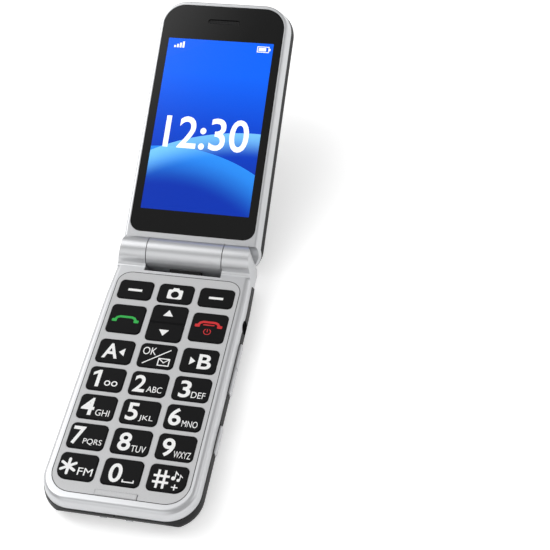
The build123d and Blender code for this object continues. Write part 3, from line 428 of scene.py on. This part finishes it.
whiteLegends = {
    "key_soft_left": filled(roundedBar(0.0, -0.35, 5.4, 1.05, 0.15)),
    "key_soft_right": filled(roundedBar(0.0, -0.35, 5.4, 1.05, 0.15)),
    "key_camera": filled(roundedBar(-0.15, -0.5, 5.7, 4.3, 0.6), circlePoints(-0.15, -0.6, 1.5))
    + filled([(-1.6, 1.5), (1.3, 1.5), (0.85, 2.45), (-1.15, 2.45)]),
    "key_nav": filled([(-2.2, 3.0), (1.55, 3.0), (-0.35, 5.8)]) + filled([(-2.1, -3.2), (-0.25, -5.9), (1.65, -3.2)]),
    "key_a": lettering("A", -1.5, -0.1, 6.4, 5.8, 0.022) + filled([(1.45, -0.2), (3.55, 1.5), (3.55, -1.9)]),
    "key_b": lettering("B", 2.1, -0.4, 6.3, 4.9, 0.02) + filled([(-1.3, -0.5), (-3.4, 1.2), (-3.4, -2.2)]),
    "key_ok": lettering("OK", -3.0, 1.7, 3.2, 5.0, 0.0) + line([(-4.5, -3.7), (4.5, 2.8)], 0.42)
    + envelope(3.0, -2.5, 4.4, 3.3, 0.42),
    "key_1": filled([(-3.35, -3.6), (-2.05, -3.6), (-2.05, 3.4), (-3.05, 3.4), (-5.0, 2.2), (-5.0, 0.95),
                     (-3.35, 1.85)])
    + ring(0.9, -1.75, 1.12, 0.68) + ring(3.5, -1.75, 1.12, 0.68),
    "key_2": digit("2", 4.25, y=-0.3) + letters("ABC", 5.5),
    "key_3": digit("3", 4.1, -2.2, -0.4) + letters("DEF", 5.0, 2.9, -2.4),
    "key_4": digit("4", 4.7) + letters("GHI", 5.0),
    "key_5": digit("5", 4.2, -2.7) + letters("JKL", 5.0, y=-2.4),
    "key_6": digit("6", 4.4) + letters("MNO", 5.5, y=-2.4),
    "key_7": digit("7", 4.35, -3.2) + letters("PQRS", 6.6, 2.4),
    "key_8": digit("8", 4.45, -2.2, -0.3) + letters("TUV", 5.1, 3.1, -2.6),
    "key_9": digit("9", 4.35, -2.5, -0.4) + letters("WXYZ", 5.9, 2.75, -2.7),
    "key_0": digit("0", 4.5, -2.1, -0.5) + line([(0.9, -2.7), (0.9, -3.4), (4.6, -3.4), (4.6, -2.7)], 0.42),
    "key_star": asterisk(-3.0, -0.3, 2.7, 1.0) + letters("FM", 5.1, 3.2, -1.7, 2.8),
    "key_hash": hashSign(-2.1, -0.6, 5.5, 6.8, 0.85) + note(1.9, 0.2, 2.4) + note(3.7, -0.3, 1.9)
    + line([(3.0, -3.9), (3.0, -2.1)], 0.42) + line([(2.1, -3.0), (3.9, -3.0)], 0.42),
}
greenLegends = {"key_call": handset(-0.2)}
redLegends = {"key_end": handset(1.3) + line([(-1.9, 0.95), (1.9, 0.95)], 0.5)
              + line(circlePoints(0, -2.0, 1.25, 24, 125, 415), 0.3) + line([(0, -2.1), (0, -0.95)], 0.3)}

for inks, finish in ((whiteLegends, "whitePadPrint"), (greenLegends, "greenPadPrint"), (redLegends, "redPadPrint")):
    for keyName, shapes in inks.items():
        low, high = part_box(keyName)
        middle = Vector(((low.x + high.x) / 2, (low.y + high.y) / 2, high.z - legendLook["sink"] * mm))
        ink = printedMesh(shapes, legendLook["thickness"] + legendLook["sink"])
        piece = finishPiece("legend_" + keyName, ink, Matrix.Translation(middle), keyName + "_body", paints[finish])
print("legends made for", len(whiteLegends) + len(greenLegends) + len(redLegends), "keys")

# a thin dark band laid in the seam round the keypad plate and round the grip tab at its end: painted shade of the
# seam, in the rubber's black
seamShadeLook = {"width": 0.26, "thickness": 0.03, "outset": 0.05, "corners": (5.2, 7.8), "tabSize": (14.4, 2.0),
            "tabHeight": 0.5}

plateLow, plateHigh = (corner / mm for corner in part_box("keypad_plate"))
plateTop = plateHigh.z - seamShadeLook["tabHeight"]
outset = Vector((seamShadeLook["outset"], seamShadeLook["outset"], 0))
seamShade = line(cornered(plateLow - outset, plateHigh + outset, *seamShadeLook["corners"], 8), seamShadeLook["width"], closed=True)
tabHalf, tabEnd = seamShadeLook["tabSize"][0] / 2, plateLow.y + seamShadeLook["tabSize"][1]
seamShade += line([(-tabHalf, plateLow.y), (-tabHalf, tabEnd), (tabHalf, tabEnd), (tabHalf, plateLow.y)],
             seamShadeLook["width"])
seamShadePlace = Matrix.Translation((0, 0, (plateTop - seamShadeLook["thickness"] / 2) * mm))
# the dark band is painted seam shade, not a gasket of the phone
piece = finishPiece("plate_seam_shade", printedMesh(seamShade, seamShadeLook["thickness"]), seamShadePlace, "base",
                    paints["siliconeRubber"])

# what is seen on the cover when the phone is folded: the lens in its window and the signs beside the lights
# in millimetres: signs holds how far the two signs lie from the hinge axis, and lensHood, lensRing and lensGlass
# are radii
coverLook = {"signX": 2.6, "signs": (23.4, 26.7), "signWidth": 3.3, "thickness": 0.02, "sink": 0.01, "lensHood": 2.3,
             "lensRing": 1.65, "lensGlass": 1.35, "lensRise": 0.3, "lensSink": 0.3, "lensRim": 0.25}
coverFace = flipBox("flip_cover")[0].z


def onCover(x, v, height):
    # faces the eye that looks at the folded phone with its hinge at the top
    return flipPlace @ Matrix.Translation((x * mm, v * mm, height)) @ Matrix.Rotation(math.pi, 4, "X")


def turned(profile, count=40):
    # a closed profile of radius and height pairs, in millimetres, turned round the axis
    bm = bmesh.new()
    turns = [2 * math.pi * i / count for i in range(count)]
    rings = [[bm.verts.new((r * mm * math.cos(turn), r * mm * math.sin(turn), z * mm)) for turn in turns]
             if r > 0 else [bm.verts.new((0, 0, z * mm))] for r, z in profile]
    # a profile that starts on the axis is closed by it
    for one, two in zip(rings, rings[1:] + (rings[:1] if profile[0][0] > 0 else [])):
        for i in range(count):
            j = (i + 1) % count
            corners = [one[i % len(one)], one[j % len(one)], two[j % len(two)], two[i % len(two)]]
            corners = list(dict.fromkeys(corners))
            if len(corners) > 2:
                bm.faces.new(corners)
    for face in bm.faces:
        face.smooth = True
    mesh = bpy.data.meshes.new("turned")
    bm.to_mesh(mesh)
    bm.free()
    return mesh


size = coverLook["signWidth"]
phoneSign = line([(-size * 0.42, -size * 0.1), (-size * 0.3, size * 0.12), (0, size * 0.2), (size * 0.3, size * 0.12),
                  (size * 0.42, -size * 0.1)], size * 0.17)
mailSign = filled(roundedBar(0, 0, size, size * 0.74, size * 0.2),
                  roundedBar(0, 0, size * 0.76, size * 0.5, size * 0.06))
mailSign += line([(-size * 0.36, size * 0.24), (0, -size * 0.05), (size * 0.36, size * 0.24)], size * 0.11)
for name, shapes, place in zip(("phone_sign", "mail_sign"), (phoneSign, mailSign), coverLook["signs"]):
    mesh = printedMesh(shapes, coverLook["thickness"] + coverLook["sink"])
    piece = finishPiece(name, mesh, onCover(coverLook["signX"], place, coverFace + coverLook["sink"] * mm), "flip",
                        paints["whitePadPrint"])

windowLow, windowHigh = flipBox("camera_window")
lensMiddle = (windowLow.y + windowHigh.y) / 2 / mm
hood, hole, glass, rise, sink, rim = (coverLook["lens" + part]
                                      for part in ("Hood", "Ring", "Glass", "Rise", "Sink", "Rim"))
lensHood = turned([(hole, -sink), (hood, -sink), (hood, rise * 0.4), (hood - rise / 2, rise * 0.6),
                   (hole, rise * 0.2)])
piece = finishPiece("lens_hood", lensHood, onCover(0, lensMiddle, windowLow.z), "flip", paints["mouldedNylon"])
bulge = rise * 0.9
lensGlass = turned([(0, -sink), (glass + rim, -sink), (glass + rim, 0.0)]
                   + [(glass * math.cos(math.radians(a)), bulge * math.sin(math.radians(a)))
                      for a in range(0, 90, 10)]
                   + [(0, bulge)])
piece = finishPiece("lens_glass", lensGlass, onCover(0, lensMiddle, windowLow.z), "flip", paints["coatedLensGlass"])
print("lens and signs made")

# rows of small dark discs laid on a grille where its holes are, their black is painted shade of the holes; made by a
# node tree that any grille can use
holesLook = {"columns": 19, "rows": 3, "pitch": 0.62, "radius": 0.17, "depth": 0.03, "lift": 0.002}


def holeRows():
    tree = bpy.data.node_groups.new("holeRows", "GeometryNodeTree")
    for name, kind in (("Columns", "Int"), ("Rows", "Int"), ("Pitch", "Float"), ("Radius", "Float"),
                       ("Depth", "Float"), ("Material", "Material")):
        tree.interface.new_socket(name=name, in_out="INPUT", socket_type="NodeSocket" + kind)
    tree.interface.new_socket(name="Geometry", in_out="OUTPUT", socket_type="NodeSocketGeometry")
    given = addNode(tree, "NodeGroupInput").outputs
    spans = []
    for name in ("Columns", "Rows"):
        steps = addNode(tree, "ShaderNodeMath", {"operation": "SUBTRACT", 1: 1.0}, {0: given[name]})
        spans.append(addNode(tree, "ShaderNodeMath", {"operation": "MULTIPLY"},
                             {0: steps.outputs[0], 1: given["Pitch"]}))
    grid = addNode(tree, "GeometryNodeMeshGrid", {}, {"Size X": spans[0].outputs[0], "Size Y": spans[1].outputs[0],
                                                      "Vertices X": given["Columns"], "Vertices Y": given["Rows"]})
    hole = addNode(tree, "GeometryNodeMeshCylinder", {"Vertices": 10},
                   {"Radius": given["Radius"], "Depth": given["Depth"]})
    copies = addNode(tree, "GeometryNodeInstanceOnPoints", {},
                     {"Points": grid.outputs["Mesh"], "Instance": hole.outputs["Mesh"]})
    real = addNode(tree, "GeometryNodeRealizeInstances", {}, {0: copies.outputs[0]})
    coloured = addNode(tree, "GeometryNodeSetMaterial", {},
                       {"Geometry": real.outputs[0], "Material": given["Material"]})
    addNode(tree, "NodeGroupOutput", {}, {"Geometry": coloured.outputs[0]})
    return tree


def rowsOfHoles(tree, look, material):
    holder = bpy.data.objects.new("holes", bpy.data.meshes.new("holes"))
    bpy.context.scene.collection.objects.link(holder)
    modifier = holder.modifiers.new("rows", "NODES")
    modifier.node_group = tree
    values = {"Columns": look["columns"], "Rows": look["rows"], "Pitch": look["pitch"] * mm,
              "Radius": look["radius"] * mm, "Depth": look["depth"] * mm, "Material": material}
    for socket in tree.interface.items_tree:
        if socket.in_out == "INPUT":
            modifier[socket.identifier] = values[socket.name]
    bpy.context.view_layer.update()
    mesh = bpy.data.meshes.new_from_object(holder.evaluated_get(bpy.context.evaluated_depsgraph_get()))
    bpy.data.objects.remove(holder)
    return mesh


grilleLow, grilleHigh = flipBox("earpiece_grille")
grilleMiddle = (grilleLow + grilleHigh) / 2
grillePlace = flipPlace @ Matrix.Translation((grilleMiddle.x, grilleMiddle.y, grilleHigh.z + holesLook["lift"] * mm))
# dark discs on the earpiece grille: painted shade of its holes
piece = finishPiece("grille_hole_shade", rowsOfHoles(holeRows(), holesLook, paints["deepHoleBlack"]), grillePlace, "flip")
print("grille made")

# what the display shows, in millimetres: the places are measured along the flip from its hinge axis
screenLook = {"width": 43.2, "height": 72.42, "middle": 53.74, "corner": 0.25, "lift": -0.01, "thickness": 0.03}
clockLook = {"text": "12:30", "y": 50.0, "height": 13.5, "width": 34.0, "weight": 0.012}
statusLook = {"y": 87.3, "pen": 0.32, "signalX": -18.6, "signalBars": 4, "signalFoot": -1.35, "barWidth": 0.8,
              "barPitch": 1.15, "barCorner": 0.15, "firstBar": 0.9, "barStep": 0.6, "batteryX": 17.6,
              "batterySize": (4.6, 2.3), "chargeShort": (1.6, 0.9), "chargeShift": 0.3, "tip": (0.5, 1.0),
              "tipGap": 0.45, "softCorner": 0.1}
litLook = {"lift": 0.02, "thickness": 0.02}
glassTop = flipBox("display_glass")[1].z


def onGlass(v, lift):
    return flipPlace @ Matrix.Translation((0, v * mm, glassTop + lift * mm))


bar = printedMesh(filled(roundedBar(0, 0, screenLook["width"], screenLook["height"], screenLook["corner"])),
                  screenLook["thickness"])
panelUv = bar.uv_layers.new(name="panel")
for loop in bar.loops:
    co = bar.vertices[loop.vertex_index].co
    panelUv.data[loop.index].uv = (co.x / mm / screenLook["width"] + 0.5, co.y / mm / screenLook["width"] + 0.5)
piece = finishPiece("screen_picture", bar, onGlass(screenLook["middle"], screenLook["lift"]), "flip", screenPicture())

clock = lettering(clockLook["text"], 0, 0, clockLook["height"], clockLook["width"], clockLook["weight"])
piece = finishPiece("screen_clock", printedMesh(clock, litLook["thickness"]),
                    onGlass(clockLook["y"], litLook["lift"]), "flip", paints["litWhitePixels"])

status = []
for i in range(statusLook["signalBars"]):
    tall = statusLook["firstBar"] + statusLook["barStep"] * i
    barX, barY = statusLook["signalX"] + i * statusLook["barPitch"], tall / 2 + statusLook["signalFoot"]
    status += filled(roundedBar(barX, barY, statusLook["barWidth"], tall, statusLook["barCorner"]))
batteryX, (wide, tall) = statusLook["batteryX"], statusLook["batterySize"]
status += line([(batteryX + sx * wide / 2, sy * tall / 2) for sx, sy in ((-1, -1), (1, -1), (1, 1), (-1, 1))],
               statusLook["pen"], closed=True)
shortX, shortY = statusLook["chargeShort"]
chargeX, tipX = batteryX - statusLook["chargeShift"], batteryX + wide / 2 + statusLook["tipGap"]
status += filled(roundedBar(chargeX, 0, wide - shortX, tall - shortY, statusLook["softCorner"]))
status += filled(roundedBar(tipX, 0, *statusLook["tip"], statusLook["softCorner"]))
piece = finishPiece("screen_status", printedMesh(status, litLook["thickness"]),
                    onGlass(statusLook["y"], litLook["lift"]), "flip", paints["litWhitePixels"])
print("screen made")

# radius and height of the sweep in metres
stageLook = {"sweep": ((10, 0), (40, 0), (44, 0.6), (46, 2.4), (47, 6)), "sweepSides": 48,
             "floorColor": "F2F2F2", "floorRoughness": 0.9, "floorLift": 0.45, "worldColor": "FFFFFF", "ambient": 0.4,
             # the soft boxes: direction, outer and inner half angle in degrees, strength
             "softBoxes": [((-0.62, 0.22, 0.75), 31, 18, 2.3), ((0.8, 0.3, 0.55), 26, 8, 0.9),
                           ((-0.2, -0.78, 0.58), 30, 8, 0.9)],
             "cameraPlace": (0.10223118, -0.2002633, 0.32799204), "cameraTurn": (39.03096, 3.85995, 10.33693),
             "cameraLens": 71.05198, "cameraSensor": 36.0}

# a wide paper sweep that curves up far away, so that low views see no edge
sweepSides = stageLook["sweepSides"]
sweepTurns = [2 * math.pi * i / sweepSides for i in range(sweepSides)]
sweepPoints = [(0, 0, 0)] + [(r * math.cos(turn), r * math.sin(turn), z)
                             for r, z in stageLook["sweep"] for turn in sweepTurns]
sweepFaces = [(0, 1 + i, 1 + (i + 1) % sweepSides) for i in range(sweepSides)]
for band in range(len(stageLook["sweep"]) - 1):
    for i in range(sweepSides):
        a, b = 1 + band * sweepSides + i, 1 + band * sweepSides + (i + 1) % sweepSides
        sweepFaces.append((a, a + sweepSides, b + sweepSides, b))
floorMesh = bpy.data.meshes.new("floor")
floorMesh.from_pydata(sweepPoints, [], sweepFaces)
floor = bpy.data.objects.new("floor", floorMesh)
bpy.context.scene.collection.objects.link(floor)
floorPaint = bpy.data.materials.new("paleSweep")
floorPaint.use_nodes = True
tree = floorPaint.node_tree
shader = tree.nodes["Principled BSDF"]
shader.inputs["Base Color"].default_value = toLinear(stageLook["floorColor"])
shader.inputs["Roughness"].default_value = stageLook["floorRoughness"]
shader.inputs["Specular IOR Level"].default_value = 0.0
# the paper shows white to the camera and in reflections, and still takes the shadow
path = addNode(tree, "ShaderNodeLightPath")
seen = addNode(tree, "ShaderNodeMath", {"operation": "MAXIMUM"}, {0: path.outputs["Is Camera Ray"],
                                                                  1: path.outputs["Is Glossy Ray"]})
seen = addNode(tree, "ShaderNodeMath", {"operation": "MAXIMUM"}, {0: seen.outputs[0],
                                                                  1: path.outputs["Is Transmission Ray"]})
lift = addNode(tree, "ShaderNodeMath", {"operation": "MULTIPLY", 1: stageLook["floorLift"]}, {0: seen.outputs[0]})
shader.inputs["Emission Color"].default_value = toLinear("FFFFFF")
tree.links.new(lift.outputs[0], shader.inputs["Emission Strength"])
floorMesh.materials.append(floorPaint)

world = bpy.data.worlds.new("studio")
bpy.context.scene.world = world
world.use_nodes = True
tree = world.node_tree
coords = addNode(tree, "ShaderNodeTexCoord")
total = addNode(tree, "ShaderNodeValue")
total.outputs[0].default_value = stageLook["ambient"]
for direction, outer, inner, strength in stageLook["softBoxes"]:
    toward = Vector(direction).normalized()
    facing = addNode(tree, "ShaderNodeVectorMath", {"operation": "DOT_PRODUCT", 1: toward},
                     {0: coords.outputs["Generated"]})
    box = addNode(tree, "ShaderNodeMapRange",
                  {"interpolation_type": "SMOOTHSTEP", 1: math.cos(math.radians(outer)),
                   2: math.cos(math.radians(inner)), 3: 0.0, 4: strength}, {0: facing.outputs["Value"]})
    total = addNode(tree, "ShaderNodeMath", {"operation": "ADD"}, {0: total.outputs[0], 1: box.outputs[0]})
background = tree.nodes["Background"]
background.inputs["Color"].default_value = toLinear(stageLook["worldColor"])
tree.links.new(total.outputs[0], background.inputs["Strength"])

lamps = {"keyLamp": {"place": (-0.62, 0.15, 0.72), "aim": (0, 0, 0), "size": (0.3, 0.3), "power": 0.9}}
for name, look in lamps.items():
    light = bpy.data.lights.new(name, "AREA")
    light.shape = "RECTANGLE"
    light.size, light.size_y = look["size"]
    light.energy = look["power"]
    lamp = bpy.data.objects.new(name, light)
    lamp.location = look["place"]
    lamp.rotation_euler = (Vector(look["aim"]) - Vector(look["place"])).to_track_quat("-Z", "Y").to_euler()
    bpy.context.scene.collection.objects.link(lamp)

cameraData = bpy.data.cameras.new("camera")
cameraData.lens = stageLook["cameraLens"]
cameraData.sensor_width = stageLook["cameraSensor"]
camera = bpy.data.objects.new("camera", cameraData)
camera.location = stageLook["cameraPlace"]
camera.rotation_euler = [math.radians(a) for a in stageLook["cameraTurn"]]
bpy.context.scene.collection.objects.link(camera)
bpy.context.scene.camera = camera
bpy.context.scene.view_settings.view_transform = "Standard"
print("stage made")
